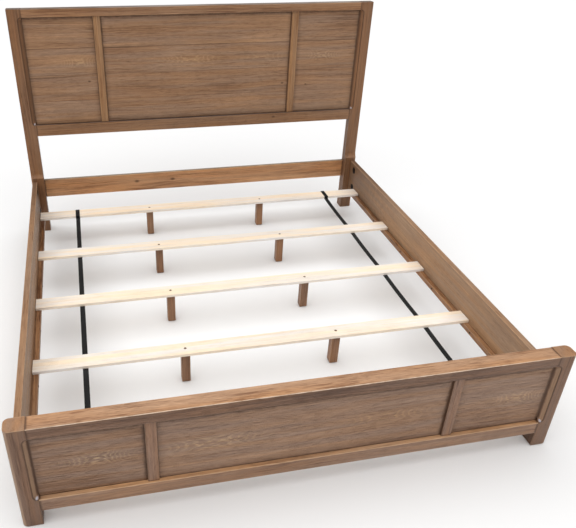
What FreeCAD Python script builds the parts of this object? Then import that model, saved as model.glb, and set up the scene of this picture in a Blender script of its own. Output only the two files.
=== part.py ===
import FreeCAD, Part
import os
import re
import Sketcher
from FreeCAD import Vector

# Panel bed frame.  Seen from the foot, +X is to the right, +Y runs to the headboard
# and +Z is up; "left" and "right" are meant from there too.  The origin is on the
# floor, at the middle of the bed's footprint.  All sizes are millimetres.

DIMENSIONS = {
    # overall
    "bed_length": 2246,
    "bed_width": 2002,
    "post_width": 69,
    "tenon_length": 28,
    "tenon_thickness": 12,
    "tenon_shoulder": 8,
    "fit_gap": 0.2,
    "edge_ease": 1.5,
    "overcut": 1,
    # frame and panel work, shared by both ends
    "recess_depth": 18,
    "stile_setback": 9,
    "stile_width": 39,
    "stile_thickness": 26,
    "stile_spacing": 1096,
    "panel_thickness": 12,
    "groove_depth": 9,
    "panel_engagement": 8,
    # footboard
    "foot_depth": 64,
    "foot_height": 444,
    "foot_corner_radius": 20,
    "foot_lower_rail_base": 69,
    "foot_lower_rail_height": 54,
    "foot_upper_rail_height": 43,
    # headboard
    "head_height": 1262,
    "head_depth": 43,
    "head_leg_step": 19,
    "head_corner_radius": 8,
    "knee_top": 372,
    "knee_radius": 35,
    "head_lower_rail_base": 588,
    "head_lower_rail_height": 62,
    "head_upper_rail_height": 41,
    "stretcher_base": 204,
    "stretcher_height": 107,
    "stretcher_thickness": 20,
    # side rails and cleats
    "rail_inner_width": 1940,
    "rail_thickness": 26,
    "rail_base": 121,
    "rail_height": 200,
    "cleat_width": 25,
    "cleat_height": 25,
    "cleat_top": 157,
    "cleat_end_gap": 90,
    # bed bolts
    "pocket_radius": 21,
    "pocket_depth": 18,
    "pocket_inset": 64,
    "bolt_low": 167,
    "bolt_high": 279.5,
    "bolt_radius": 4,
    "bolt_head_radius": 6,
    "bolt_head_length": 6,
    "bolt_head_seat": 4,
    "bolt_clearance": 0.5,
    "insert_radius": 6,
    "insert_length": 24,
    "hole_relief": 10,
    "cover_thickness": 2.5,
    # cleat screws
    "screw_radius": 2,
    "screw_head_radius": 4.5,
    "screw_head_length": 2,
    "screw_length": 38,
    "screw_first": 183,
    "screw_pitch": 376,
    # slat roll
    "slat_length": 1935,
    "slat_width": 79,
    "slat_thickness": 14.3,
    "slat_first": 156,
    "slat_pitch": 461.75,
    "rest_gap": 0.3,
    "leg_side": 37,
    "leg_spacing": 676,
    "leg_chamfer": 5,
    "leg_bolt_radius": 3,
    "leg_bolt_head_radius": 6,
    "leg_bolt_head_length": 1.6,
    "leg_bolt_length": 60,
    "strap_spacing": 1514,
    "strap_width": 23,
    "strap_thickness": 1.6,
}

SLAT_COUNT = 5
SCREWS_PER_CLEAT = 6
SIDES = {"left": -1, "right": 1}

# How near two things must be to count as parallel, as the same place, or as on the base.
PARALLEL = 0.999
SAME_PLACE = 1
ON_BASE = 0.01
# A wedge needs some width at its sharp edge, and a sketch some size before it is bound.
SHARP_EDGE = 0.001
SKETCH_START = 10

TO_X = FreeCAD.Rotation(Vector(0, 1, 0), 90)
TO_Y = FreeCAD.Rotation(Vector(1, 0, 0), -90)

doc = FreeCAD.newDocument("BedFrame")
sheet = doc.addObject("Spreadsheet::Sheet", "Dims")
for row, (alias, value) in enumerate(DIMENSIONS.items(), start=1):
    sheet.set(f"A{row}", alias)
    sheet.set(f"B{row}", str(value))
    sheet.setAlias(f"B{row}", alias)
doc.recompute()

subparts = []


def bind(obj, prop, formula):
    """Ties a property to a formula of the sheet's named sizes."""
    obj.setExpression(prop, re.sub(r"[a-z_]{3,}", lambda word: "Dims." + word.group(0), formula))


def place(obj, position, rotation=None):
    """Puts an object at three formulas, turned by an optional rotation."""
    if rotation is not None:
        obj.Placement = FreeCAD.Placement(Vector(), rotation)
    for axis, formula in zip("xyz", position):
        bind(obj, f"Placement.Base.{axis}", formula)


def unique(name):
    """A fresh internal name for a helper solid."""
    return f"{name}_{len(doc.Objects)}"


def box(size, corner, name="Block"):
    """A block with its low corner at three formulas."""
    block = doc.addObject("Part::Box", unique(name))
    for prop, formula in zip(("Length", "Width", "Height"), size):
        bind(block, prop, formula)
    place(block, corner)
    return block


def rod(radius, length, start, rotation=None, name="Rod"):
    """A cylinder that starts at three formulas and runs along the turned Z axis."""
    cylinder = doc.addObject("Part::Cylinder", unique(name))
    bind(cylinder, "Radius", radius)
    bind(cylinder, "Height", length)
    place(cylinder, start, rotation)
    return cylinder


def cone(radius, length, start, rotation, name="Cone"):
    """A pointed cone with its base at the start."""
    tip = doc.addObject("Part::Cone", unique(name))
    bind(tip, "Radius1", radius)
    tip.Radius2 = 0
    bind(tip, "Height", length)
    place(tip, start, rotation)
    return tip


def fuse(shapes, name="Joined"):
    """One solid from several that touch or overlap."""
    joined = doc.addObject("Part::MultiFuse", unique(name))
    joined.Shapes = shapes
    joined.Refine = True
    return joined


def cut(base, tools, name="Trimmed"):
    """The base with every tool taken away."""
    trimmed = doc.addObject("Part::Cut", unique(name))
    trimmed.Base = base
    trimmed.Tool = tools[0] if len(tools) == 1 else group(tools)
    trimmed.Refine = True
    return trimmed


def group(members, name="Set"):
    """Several separate solids held together."""
    held = doc.addObject("Part::Compound", unique(name))
    held.Links = members
    return held


def finish(obj, label):
    """Names an object as a sub-part to be written out."""
    obj.Label = label
    subparts.append(obj)
    return obj


def edges_along(shape, axis, keep=None):
    """Names of the straight edges parallel to an axis that pass an optional test."""
    names = []
    for number, edge in enumerate(shape.Edges, start=1):
        if not isinstance(edge.Curve, Part.Line):
            continue
        if abs(edge.tangentAt(edge.FirstParameter).dot(axis)) < PARALLEL:
            continue
        if keep is None or keep(edge.CenterOfMass):
            names.append(f"Edge{number}")
    return names


def bottom_edges(shape):
    """Names of the edges that lie on a body's own base plane."""
    edges = enumerate(shape.Edges, start=1)
    return [f"Edge{number}" for number, edge in edges if edge.BoundBox.ZMax < ON_BASE]


def dress(body, kind, base, names, prop, formula):
    """Adds a fillet or chamfer to named edges of a body's last feature."""
    feature = body.newObject(kind, unique("Dress"))
    feature.Base = (base, names)
    bind(feature, prop, formula)
    doc.recompute()
    return feature


def board(size, corner, grain, ease="edge_ease", name="Board"):
    """A sawn board: a padded rectangle whose edges along the grain are eased."""
    body = doc.addObject("PartDesign::Body", unique(name))
    sketch = body.newObject("Sketcher::SketchObject", unique("Outline"))
    planes = {item.Role: item for item in body.Origin.OriginFeatures}
    sketch.AttachmentSupport = [(planes["XY_Plane"], "")]
    sketch.MapMode = "FlatFace"
    rectangle(sketch, size[0], size[1])
    pad = body.newObject("PartDesign::Pad", unique("Pad"))
    pad.Profile = sketch
    bind(pad, "Length", size[2])
    place(body, corner)
    doc.recompute()
    if ease:
        dress(body, "PartDesign::Fillet", pad, edges_along(pad.Shape, grain), "Radius", ease)
    return body


def rectangle(sketch, width, depth):
    """A constrained rectangle from the sketch origin, with both sizes bound to the sheet."""
    size = SKETCH_START
    corners = [Vector(0, 0, 0), Vector(size, 0, 0), Vector(size, size, 0), Vector(0, size, 0)]
    for first, second in zip(corners, corners[1:] + corners[:1]):
        sketch.addGeometry(Part.LineSegment(first, second), False)
    for line in range(4):
        sketch.addConstraint(Sketcher.Constraint("Coincident", line, 2, (line + 1) % 4, 1))
    for kind, line in (("Horizontal", 0), ("Vertical", 1), ("Horizontal", 2), ("Vertical", 3)):
        sketch.addConstraint(Sketcher.Constraint(kind, line))
    sketch.addConstraint(Sketcher.Constraint("Coincident", 0, 1, -1, 1))
    across = sketch.addConstraint(Sketcher.Constraint("DistanceX", 0, 1, 0, 2, size))
    up = sketch.addConstraint(Sketcher.Constraint("DistanceY", 1, 1, 1, 2, size))
    sketch.renameConstraint(across, "Across")
    sketch.renameConstraint(up, "Upward")
    bind(sketch, "Constraints.Across", width)
    bind(sketch, "Constraints.Upward", depth)


X_AXIS = Vector(1, 0, 0)
Y_AXIS = Vector(0, 1, 0)
Z_AXIS = Vector(0, 0, 1)

FLOOR = "0"
FOOT_FRONT = "-bed_length / 2"
FOOT_BACK = "-bed_length / 2 + foot_depth"
HEAD_FRONT = "bed_length / 2 - head_depth"
LEG_FRONT = "bed_length / 2 - head_depth - head_leg_step"
STRETCHER_FRONT = "bed_length / 2 - stretcher_thickness"
JOINT = "bed_width / 2 - post_width"
BETWEEN_POSTS = "bed_width - 2 * post_width"
SLOT_WIDTH = "panel_thickness + 2 * fit_gap"

# The base and the height of each rail that crosses between posts.
FOOT_LOWER_RAIL = ("foot_lower_rail_base", "foot_lower_rail_height")
FOOT_UPPER_RAIL = ("foot_height - foot_upper_rail_height", "foot_upper_rail_height")
HEAD_LOWER_RAIL = ("head_lower_rail_base", "head_lower_rail_height")
HEAD_UPPER_RAIL = ("head_height - head_upper_rail_height", "head_upper_rail_height")
STRETCHER = ("stretcher_base", "stretcher_height")


def outward(side, distance, width="0"):
    """The low X of something that reaches from a distance outward by a width."""
    if SIDES[side] > 0:
        return distance
    return f"-({distance}) - ({width})"


def panel_bay(front, lower_rail, upper_rail):
    """The formulas of the opening that the panels and stiles fill."""
    low = f"{lower_rail[0]} + {lower_rail[1]}"
    high = upper_rail[0]
    return {"front": front, "low": low, "high": high, "opening": f"({high}) - ({low})"}


FOOT_BAY = panel_bay(FOOT_FRONT, FOOT_LOWER_RAIL, FOOT_UPPER_RAIL)
HEAD_BAY = panel_bay(HEAD_FRONT, HEAD_LOWER_RAIL, HEAD_UPPER_RAIL)


# ---------------------------------------------------------------- joinery
def stopped_bevel(side, bay):
    """The bevel routed down a post's inner edge, with a coned end at each rail."""
    reach = "recess_depth"
    start = f"{bay['low']} + {reach}"
    wedge = doc.addObject("Part::Wedge", unique("Bevel"))
    for prop in ("Xmin", "Ymin", "Zmin", "X2min", "Z2min"):
        setattr(wedge, prop, 0)
    wedge.X2max = SHARP_EDGE
    bind(wedge, "Xmax", reach)
    bind(wedge, "Ymax", reach)
    bind(wedge, "Zmax", f"{bay['opening']} - 2 * {reach}")
    bind(wedge, "Z2max", f"{bay['opening']} - 2 * {reach}")
    place(wedge, (JOINT, bay["front"], start))
    middle = wedge
    if SIDES[side] < 0:
        middle = doc.addObject("Part::Mirroring", unique("BevelMirror"))
        middle.Source = wedge
        middle.Normal = X_AXIS
        middle.Base = Vector(0, 0, 0)
    ends = []
    for height in (start, f"{bay['high']} - {reach}"):
        ends.append(cone(reach, reach, (outward(side, JOINT), bay["front"], height), TO_Y))
    return fuse([middle] + ends, "StoppedBevel")


def groove_in_post(side, bay):
    """The slot in a post's inner face that holds the panel's edge."""
    return box(
        ("groove_depth", SLOT_WIDTH, f"{bay['opening']} + 2 * groove_depth"),
        (
            outward(side, JOINT, "groove_depth"),
            f"{bay['front']} + recess_depth - fit_gap",
            f"{bay['low']} - groove_depth",
        ),
    )


def tenon_y(front, depth):
    """The front of a tenon centred in a rail's depth."""
    return f"{front} + ({depth}) / 2 - tenon_thickness / 2"


def mortise(side, front, depth, rail):
    """The socket in a post for one rail's tenon."""
    base, height = rail
    return box(
        (
            "tenon_length + fit_gap",
            "tenon_thickness + 2 * fit_gap",
            f"{height} - 2 * tenon_shoulder + 2 * fit_gap",
        ),
        (
            outward(side, JOINT, "tenon_length + fit_gap"),
            f"{tenon_y(front, depth)} - fit_gap",
            f"{base} + tenon_shoulder - fit_gap",
        ),
    )


def cross_rail(label, front, depth, rail, ease, groove=None):
    """A rail between two posts, with a tenon at each end and an optional panel groove."""
    base, height = rail
    start = "-bed_width / 2 + post_width"
    blank = board((BETWEEN_POSTS, depth, height), (start, front, base), X_AXIS, ease)
    tenon = box(
        (f"{BETWEEN_POSTS} + 2 * tenon_length", "tenon_thickness", f"{height} - 2 * tenon_shoulder"),
        (f"{start} - tenon_length", tenon_y(front, depth), f"{base} + tenon_shoulder"),
    )
    joined = fuse([blank, tenon], "Rail")
    if groove:
        slot = box(
            (BETWEEN_POSTS, SLOT_WIDTH, "groove_depth"),
            (start, f"{front} + recess_depth - fit_gap", groove),
        )
        joined = cut(joined, [slot])
    finish(joined, label)


# ---------------------------------------------------------------- panels
def panel_x(position):
    """Low X and width of the left, centre or right panel, with its hidden edges."""
    inner = "(stile_spacing - stile_width) / 2"
    outer = "(stile_spacing + stile_width) / 2"
    if position == "centre":
        return f"-({inner}) - panel_engagement", "stile_spacing - stile_width + 2 * panel_engagement"
    width = f"{JOINT} - {outer} + 2 * panel_engagement"
    if position == "left":
        return f"-({JOINT}) - panel_engagement", width
    return f"{outer} - panel_engagement", width


def panel_z(bay):
    """Low Z and height of a panel, with its hidden edges."""
    return f"{bay['low']} - panel_engagement", f"{bay['opening']} + 2 * panel_engagement"


def panel(prefix, bay, position):
    """One floating panel."""
    low_x, width = panel_x(position)
    low_z, height = panel_z(bay)
    board_y = f"{bay['front']} + recess_depth"
    finish(
        box((width, "panel_thickness", height), (low_x, board_y, low_z), "Panel"),
        f"{prefix}_panel_{position}",
    )


def stile(prefix, bay, side):
    """An upright between two panels, grooved on both edges, with a tongue at each end."""
    low_x = f"{SIDES[side]} * stile_spacing / 2 - stile_width / 2"
    low_z, height = panel_z(bay)
    board_y = f"{bay['front']} + recess_depth"
    face = board(
        ("stile_width", "stile_thickness", bay["opening"]),
        (low_x, f"{bay['front']} + stile_setback", bay["low"]),
        Z_AXIS,
    )
    tongue = box(("stile_width", "panel_thickness", height), (low_x, board_y, low_z))
    slots = []
    for edge in (low_x, f"{low_x} + stile_width - groove_depth"):
        slots.append(
            box(
                ("groove_depth", SLOT_WIDTH, f"{height} + 2 * overcut"),
                (edge, f"{board_y} - fit_gap", f"{low_z} - overcut"),
            )
        )
    finish(cut(fuse([face, tongue]), slots), f"{prefix}_stile_{side}")


def framed_panels(prefix, bay):
    """Three floating panels and the two stiles between them."""
    for position in ("left", "centre", "right"):
        panel(prefix, bay, position)
    for side in SIDES:
        stile(prefix, bay, side)


# ---------------------------------------------------------------- bed bolt positions
def bolt_x(side):
    """The X of the bed bolts, in the middle of their pockets' depth."""
    return outward(side, "rail_inner_width / 2 + pocket_depth / 2")


def bolt_sites(side):
    """Each bed bolt of a side as (pocket centre along Y, direction it points, height)."""
    centres = (
        (f"{FOOT_BACK} + pocket_inset", -1),
        (f"{LEG_FRONT} - pocket_inset", 1),
    )
    return [(centre, way, height) for centre, way in centres for height in ("bolt_low", "bolt_high")]


def insert_holes(side, face, inward):
    """Two blind holes for threaded inserts in a post, running in from the rail's end."""
    length = "insert_length + hole_relief"
    start = face if inward > 0 else f"{face} - ({length})"
    holes = []
    for height in ("bolt_low", "bolt_high"):
        holes.append(
            rod("insert_radius + fit_gap", length, (bolt_x(side), start, height), TO_Y, "InsertHole")
        )
    return holes


# ---------------------------------------------------------------- the two ends
def post(side, front, depth, height, corner_radius, name):
    """A post blank with its two outer edges rounded."""
    body = board(
        ("post_width", depth, height),
        (outward(side, JOINT, "post_width"), front, FLOOR),
        Z_AXIS,
        ease=None,
        name=name,
    )
    outer_x = sheet.post_width if SIDES[side] > 0 else 0
    names = edges_along(body.Tip.Shape, Z_AXIS, lambda middle: abs(middle.x - outer_x) < SAME_PLACE)
    dress(body, "PartDesign::Fillet", body.Tip, names, "Radius", corner_radius)
    return body


def foot_post(side):
    """A footboard post, chamfered at the floor."""
    body = post(side, FOOT_FRONT, "foot_depth", "foot_height", "foot_corner_radius", "FootPost")
    base_edges = bottom_edges(body.Tip.Shape)
    dress(body, "PartDesign::Chamfer", body.Tip, base_edges, "Size", "2 * edge_ease")
    tools = [stopped_bevel(side, FOOT_BAY), groove_in_post(side, FOOT_BAY)]
    for rail in (FOOT_LOWER_RAIL, FOOT_UPPER_RAIL):
        tools.append(mortise(side, FOOT_FRONT, "foot_depth", rail))
    tools += insert_holes(side, FOOT_BACK, -1)
    finish(cut(body, tools), f"footboard_post_{side}")


def footboard():
    """Posts, rails, stiles and panels at the foot."""
    for side in SIDES:
        foot_post(side)
    ease = "2 * edge_ease"
    cross_rail(
        "footboard_top_rail", FOOT_FRONT, "foot_depth", FOOT_UPPER_RAIL, ease, FOOT_BAY["high"]
    )
    cross_rail(
        "footboard_bottom_rail", FOOT_FRONT, "foot_depth", FOOT_LOWER_RAIL, ease,
        f"{FOOT_BAY['low']} - groove_depth",
    )
    framed_panels("footboard", FOOT_BAY)


def knee_tools(low_x):
    """What is cut from a headboard post above its stepped leg, down to a concave knee."""
    step = box(
        ("post_width + 2 * overcut", "head_leg_step + overcut", "head_height - knee_top + overcut"),
        (f"{low_x} - overcut", f"{LEG_FRONT} - overcut", "knee_top"),
    )
    cove = rod(
        "knee_radius",
        "post_width + 2 * overcut",
        (f"{low_x} - overcut", f"{HEAD_FRONT} - knee_radius", "knee_top"),
        TO_X,
        "Cove",
    )
    return [step, cove]


def head_post(side):
    """A headboard post whose leg steps forward to meet the side rail."""
    depth = "head_depth + head_leg_step"
    body = post(side, LEG_FRONT, depth, "head_height", "head_corner_radius", "HeadPost")
    tools = knee_tools(outward(side, JOINT, "post_width"))
    tools += [stopped_bevel(side, HEAD_BAY), groove_in_post(side, HEAD_BAY)]
    for rail in (HEAD_LOWER_RAIL, HEAD_UPPER_RAIL):
        tools.append(mortise(side, HEAD_FRONT, "head_depth", rail))
    tools.append(mortise(side, STRETCHER_FRONT, "stretcher_thickness", STRETCHER))
    tools += insert_holes(side, LEG_FRONT, 1)
    finish(cut(body, tools), f"headboard_post_{side}")


def headboard():
    """Posts, rails, stretcher, stiles and panels at the head."""
    for side in SIDES:
        head_post(side)
    ease = "edge_ease"
    cross_rail(
        "headboard_top_rail", HEAD_FRONT, "head_depth", HEAD_UPPER_RAIL, ease, HEAD_BAY["high"]
    )
    cross_rail(
        "headboard_lower_rail", HEAD_FRONT, "head_depth", HEAD_LOWER_RAIL, ease,
        f"{HEAD_BAY['low']} - groove_depth",
    )
    cross_rail(
        "headboard_stretcher", STRETCHER_FRONT, "stretcher_thickness", STRETCHER, ease
    )
    framed_panels("headboard", HEAD_BAY)


# ---------------------------------------------------------------- side rails and cleats
RAIL_FACE = "rail_inner_width / 2"
CLEAT_FACE = "rail_inner_width / 2 - cleat_width"
CLEAT_MIDDLE = "cleat_top - cleat_height / 2"
RAIL_LENGTH = "bed_length - foot_depth - head_depth - head_leg_step"


def screw_y(index):
    """The Y of one cleat screw."""
    return f"{FOOT_FRONT} + screw_first + {index} * screw_pitch"


def screw_holes(side, face, depth):
    """Holes for the cleat screws, running outward from a face."""
    holes = []
    for index in range(SCREWS_PER_CLEAT):
        start = (outward(side, face, depth), screw_y(index), CLEAT_MIDDLE)
        holes.append(rod("screw_radius + fit_gap", depth, start, TO_X, "ScrewHole"))
    return holes


def bolt_pockets(side):
    """Round pockets for the bed bolts, and the bores from them to the rail's ends."""
    tools = []
    for centre, way, height in bolt_sites(side):
        pocket_start = (outward(side, RAIL_FACE, "pocket_depth"), centre, height)
        tools.append(rod("pocket_radius", "pocket_depth", pocket_start, TO_X, "Pocket"))
        bore_y = centre if way > 0 else f"{centre} - pocket_inset - overcut"
        bore_start = (bolt_x(side), bore_y, height)
        tools.append(
            rod("bolt_radius + bolt_clearance", "pocket_inset + overcut", bore_start, TO_Y, "BoltBore")
        )
    return tools


def side_rail(side):
    """A side rail with its bolt pockets and pilot holes."""
    blank = board(
        ("rail_thickness", RAIL_LENGTH, "rail_height"),
        (outward(side, RAIL_FACE, "rail_thickness"), FOOT_BACK, "rail_base"),
        Y_AXIS,
        name="SideRail",
    )
    pilots = screw_holes(side, RAIL_FACE, "screw_length - cleat_width + overcut")
    finish(cut(blank, bolt_pockets(side) + pilots), f"side_rail_{side}")


def cleat(side):
    """The strip that carries the slat ends."""
    blank = board(
        ("cleat_width", f"{RAIL_LENGTH} - 2 * cleat_end_gap", "cleat_height"),
        (
            outward(side, CLEAT_FACE, "cleat_width"),
            f"{FOOT_BACK} + cleat_end_gap",
            "cleat_top - cleat_height",
        ),
        Y_AXIS,
        name="Cleat",
    )
    finish(cut(blank, screw_holes(side, CLEAT_FACE, "cleat_width")), f"slat_cleat_{side}")


def side_rails():
    """Both side rails and their cleats."""
    for side in SIDES:
        side_rail(side)
        cleat(side)


# ---------------------------------------------------------------- hardware of the frame
def bed_bolt(side, centre, way, height):
    """A bolt with its head in the pocket and its shank through the insert in the post."""
    shank = "pocket_inset - bolt_head_seat + insert_length"
    if way > 0:
        shank_y = f"{centre} + bolt_head_seat"
        head_y = f"{centre} + bolt_head_seat - bolt_head_length"
    else:
        shank_y = f"{centre} - bolt_head_seat - ({shank})"
        head_y = f"{centre} - bolt_head_seat"
    return fuse(
        [
            rod("bolt_radius", shank, (bolt_x(side), shank_y, height), TO_Y),
            rod("bolt_head_radius", "bolt_head_length", (bolt_x(side), head_y, height), TO_Y),
        ],
        "BedBolt",
    )


def bolt_insert(side, centre, way, height):
    """The threaded sleeve in the post that a bed bolt screws into."""
    start_y = f"{centre} + pocket_inset" if way > 0 else f"{centre} - pocket_inset - insert_length"
    start = (bolt_x(side), start_y, height)
    sleeve = rod("insert_radius", "insert_length", start, TO_Y)
    bore = rod("bolt_radius + fit_gap", "insert_length", start, TO_Y)
    return cut(sleeve, [bore], "Insert")


def pocket_cover(side, centre, height):
    """The cap that closes a bolt pocket, flush with the rail's face."""
    start = (outward(side, RAIL_FACE, "cover_thickness"), centre, height)
    return rod("pocket_radius - fit_gap / 2", "cover_thickness", start, TO_X, "Cover")


def cleat_screw(side, index):
    """A screw through the cleat into the rail."""
    head_face = f"{CLEAT_FACE} - screw_head_length"
    start = (outward(side, CLEAT_FACE, "screw_length"), screw_y(index), CLEAT_MIDDLE)
    head = (outward(side, head_face, "screw_head_length"), screw_y(index), CLEAT_MIDDLE)
    return fuse(
        [
            rod("screw_radius", "screw_length", start, TO_X),
            rod("screw_head_radius", "screw_head_length", head, TO_X),
        ],
        "CleatScrew",
    )


def frame_hardware():
    """Bed bolts, their threaded inserts and covers, and the cleat screws."""
    bolts = []
    inserts = []
    covers = []
    screws = []
    for side in SIDES:
        for centre, way, height in bolt_sites(side):
            bolts.append(bed_bolt(side, centre, way, height))
            inserts.append(bolt_insert(side, centre, way, height))
            covers.append(pocket_cover(side, centre, height))
        for index in range(SCREWS_PER_CLEAT):
            screws.append(cleat_screw(side, index))
    finish(group(bolts), "bed_bolts")
    finish(group(inserts), "bed_bolt_inserts")
    finish(group(covers), "bolt_pocket_covers")
    finish(group(screws), "cleat_screws")


# ---------------------------------------------------------------- slat roll
SLAT_BASE = "cleat_top + rest_gap"
SLAT_TOP = "cleat_top + rest_gap + slat_thickness"


def slat_y(index):
    """The low Y of one slat, counted from the headboard."""
    return f"{FOOT_FRONT} + slat_first + {SLAT_COUNT - 1 - index} * slat_pitch"


def leg_place(index, side):
    """The X and Y of one support leg's middle."""
    return f"{SIDES[side]} * leg_spacing / 2", f"{slat_y(index)} + slat_width / 2"


def slat(index):
    """A slat with a recessed hole above each of its legs."""
    blank = board(
        ("slat_length", "slat_width", "slat_thickness"),
        ("-slat_length / 2", slat_y(index), SLAT_BASE),
        X_AXIS,
        name="Slat",
    )
    holes = []
    for side in SIDES:
        across, along = leg_place(index, side)
        holes.append(rod("leg_bolt_radius + fit_gap", "slat_thickness", (across, along, SLAT_BASE)))
        recess_start = (across, along, f"{SLAT_TOP} - leg_bolt_head_length")
        holes.append(rod("leg_bolt_head_radius + fit_gap", "leg_bolt_head_length", recess_start))
    finish(cut(blank, holes), f"slat_{index + 1}")


def support_leg(index, side):
    """A square leg under a slat, chamfered at the floor and bored for its bolt."""
    across, along = leg_place(index, side)
    leg = board(
        ("leg_side", "leg_side", SLAT_BASE),
        (f"{across} - leg_side / 2", f"{along} - leg_side / 2", FLOOR),
        Z_AXIS,
        ease=None,
        name="Leg",
    )
    dress(leg, "PartDesign::Chamfer", leg.Tip, bottom_edges(leg.Tip.Shape), "Size", "leg_chamfer")
    depth = "leg_bolt_length - slat_thickness + 2 * overcut"
    bore = rod("leg_bolt_radius + fit_gap", depth, (across, along, f"{SLAT_BASE} - ({depth})"))
    finish(cut(leg, [bore]), f"support_leg_{index + 1}_{side}")


def leg_bolt(index, side):
    """A flat-headed bolt down through a slat into its leg."""
    across, along = leg_place(index, side)
    shank_start = (across, along, f"{SLAT_TOP} - leg_bolt_length")
    head_start = (across, along, f"{SLAT_TOP} - leg_bolt_head_length")
    return fuse(
        [
            rod("leg_bolt_radius", "leg_bolt_length", shank_start),
            rod("leg_bolt_head_radius", "leg_bolt_head_length", head_start),
        ],
        "LegBolt",
    )


def strap(side):
    """A webbing strap: over the head slat, round its front edge and under the rest."""
    low_x = f"{SIDES[side]} * strap_spacing / 2 - strap_width / 2"
    gap = "fit_gap / 2"
    top = f"{SLAT_TOP} + {gap}"
    under = f"{SLAT_BASE} - {gap} - strap_thickness"
    edge = f"{slat_y(0)} - {gap} - strap_thickness"
    run_start = slat_y(SLAT_COUNT - 1)
    over = box(("strap_width", "slat_width + strap_thickness", "strap_thickness"), (low_x, edge, top))
    drop = box(
        ("strap_width", "strap_thickness", "slat_thickness + 2 * strap_thickness + fit_gap"),
        (low_x, edge, under),
    )
    run = box(
        ("strap_width", f"{edge} + strap_thickness - ({run_start})", "strap_thickness"),
        (low_x, run_start, under),
    )
    finish(fuse([over, drop, run], "Strap"), f"slat_strap_{side}")


def slat_roll():
    """Slats, their support legs and bolts, and the two straps that join them."""
    bolts = []
    for index in range(SLAT_COUNT):
        slat(index)
        for side in SIDES:
            support_leg(index, side)
            bolts.append(leg_bolt(index, side))
    finish(group(bolts), "leg_bolts")
    for side in SIDES:
        strap(side)


# ---------------------------------------------------------------- build, check and write out
def check_model():
    """Stops the build when an object did not compute or a sub-part has no valid shape."""
    for obj in doc.Objects:
        if {"Invalid", "Error"} & set(obj.State):
            raise RuntimeError(f"{obj.Label} did not compute: {obj.State}")
    for obj in subparts:
        if obj.Shape.isNull() or not obj.Shape.isValid():
            raise RuntimeError(f"{obj.Label} has no valid shape")


def write_parts():
    """Writes each sub-part to its own STEP file."""
    os.makedirs("parts", exist_ok=True)
    for obj in subparts:
        obj.Shape.exportStep(os.path.join("parts", obj.Label + ".step"))
    print(f"{len(subparts)} sub-parts written")


footboard()
headboard()
side_rails()
frame_hardware()
slat_roll()
doc.recompute()
check_model()
write_parts()
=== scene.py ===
import math

import bmesh
import bpy
from mathutils import Matrix, Vector


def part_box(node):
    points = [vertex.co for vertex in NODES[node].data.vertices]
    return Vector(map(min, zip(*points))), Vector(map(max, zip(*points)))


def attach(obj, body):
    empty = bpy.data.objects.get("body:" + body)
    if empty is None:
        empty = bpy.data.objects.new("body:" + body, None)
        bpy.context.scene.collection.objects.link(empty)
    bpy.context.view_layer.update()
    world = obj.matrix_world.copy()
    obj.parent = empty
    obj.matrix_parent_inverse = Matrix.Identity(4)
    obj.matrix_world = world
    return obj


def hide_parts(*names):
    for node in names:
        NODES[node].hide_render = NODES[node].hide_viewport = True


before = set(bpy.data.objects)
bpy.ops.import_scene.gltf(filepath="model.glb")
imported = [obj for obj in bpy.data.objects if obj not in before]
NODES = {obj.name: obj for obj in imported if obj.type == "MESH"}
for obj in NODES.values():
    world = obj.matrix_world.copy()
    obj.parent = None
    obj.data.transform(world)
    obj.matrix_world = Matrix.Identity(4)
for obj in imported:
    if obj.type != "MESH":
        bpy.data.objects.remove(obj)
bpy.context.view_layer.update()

# Linear colours of the finishes.
HEAD_POST = (0.285, 0.139, 0.064)
HEAD_RAIL = (0.385, 0.205, 0.104)
HEAD_LOW_RAIL = tuple(c * 0.83 for c in HEAD_RAIL)
HEAD_STILE = (0.405, 0.212, 0.096)
HEAD_PANEL = (0.385, 0.224, 0.130)
STRETCHER = (0.590, 0.305, 0.145)
FOOT_POST = (0.223, 0.120, 0.070)
FOOT_TOP_RAIL = (0.222, 0.120, 0.071)
FOOT_LOW_RAIL = (0.318, 0.180, 0.108)
FOOT_STILE = (0.300, 0.170, 0.108)
FOOT_PANEL = (0.32736, 0.19623, 0.12555)
SIDE_RAIL = (0.415, 0.247, 0.138)
CLEAT = (0.265, 0.130, 0.058)
LEG = (0.270, 0.135, 0.067)
PINE = (0.970, 0.880, 0.775)
# Dark glaze, also used to paint shade and shadow.
GLAZE = (0.080, 0.036, 0.017)
# Pale worn edges, also used to paint highlights where edges and slopes catch the light.
WORN = (0.640, 0.420, 0.255)
# A painted highlight spot in the lower end of each post's bevel.
PALE = (0.620, 0.600, 0.660)
# A painted glint of light along the edges of the footboard's top rail.
GLINT = (0.860, 0.740, 0.620)
FIGURE_TINT = (0.590, 0.385, 0.220)
# Clean and tarnished metal, and the darkest and lightest parts of the plastic and the webbing.
ZINC_PLATE = (0.55, 0.55, 0.53), (0.33, 0.33, 0.32)
BLACK_STEEL = (0.014, 0.014, 0.015), (0.006, 0.006, 0.005)
BRONZE_PLATE = (0.23, 0.14, 0.075), (0.09, 0.05, 0.028)
BLACK_PLASTIC = (0.003, 0.003, 0.003), (0.030, 0.028, 0.026)
BLACK_WEBBING = (0.004, 0.004, 0.004), (0.020, 0.020, 0.021)
FLOOR = (0.84, 0.84, 0.84, 1)
# What the colours are multiplied by: in warm and cool bands of the wood's hue, and on faces that look up,
# where the factors are painted light above one and painted shade below one.
WHITE = (1.0, 1.0, 1.0)
WARM = (1.055, 0.990, 0.880)
COOL = (0.955, 1.000, 1.075)
FOOT_TOP = (1.75, 1.80, 1.70)
FOOT_RAIL_TOP = (2.20, 2.25, 2.05)
FOOT_LEDGE = (1.40, 1.40, 1.25)
HEAD_TOP = (0.75, 1.15, 1.95)
HEAD_LEDGE = (0.36, 0.42, 0.62)
STRETCHER_TOP = (0.45, 0.70, 1.10)
SIDE_TOP = (0.78, 0.75, 0.75)
PINE_TOP = (0.95, 0.915, 0.865)

MM = 0.001
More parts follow.
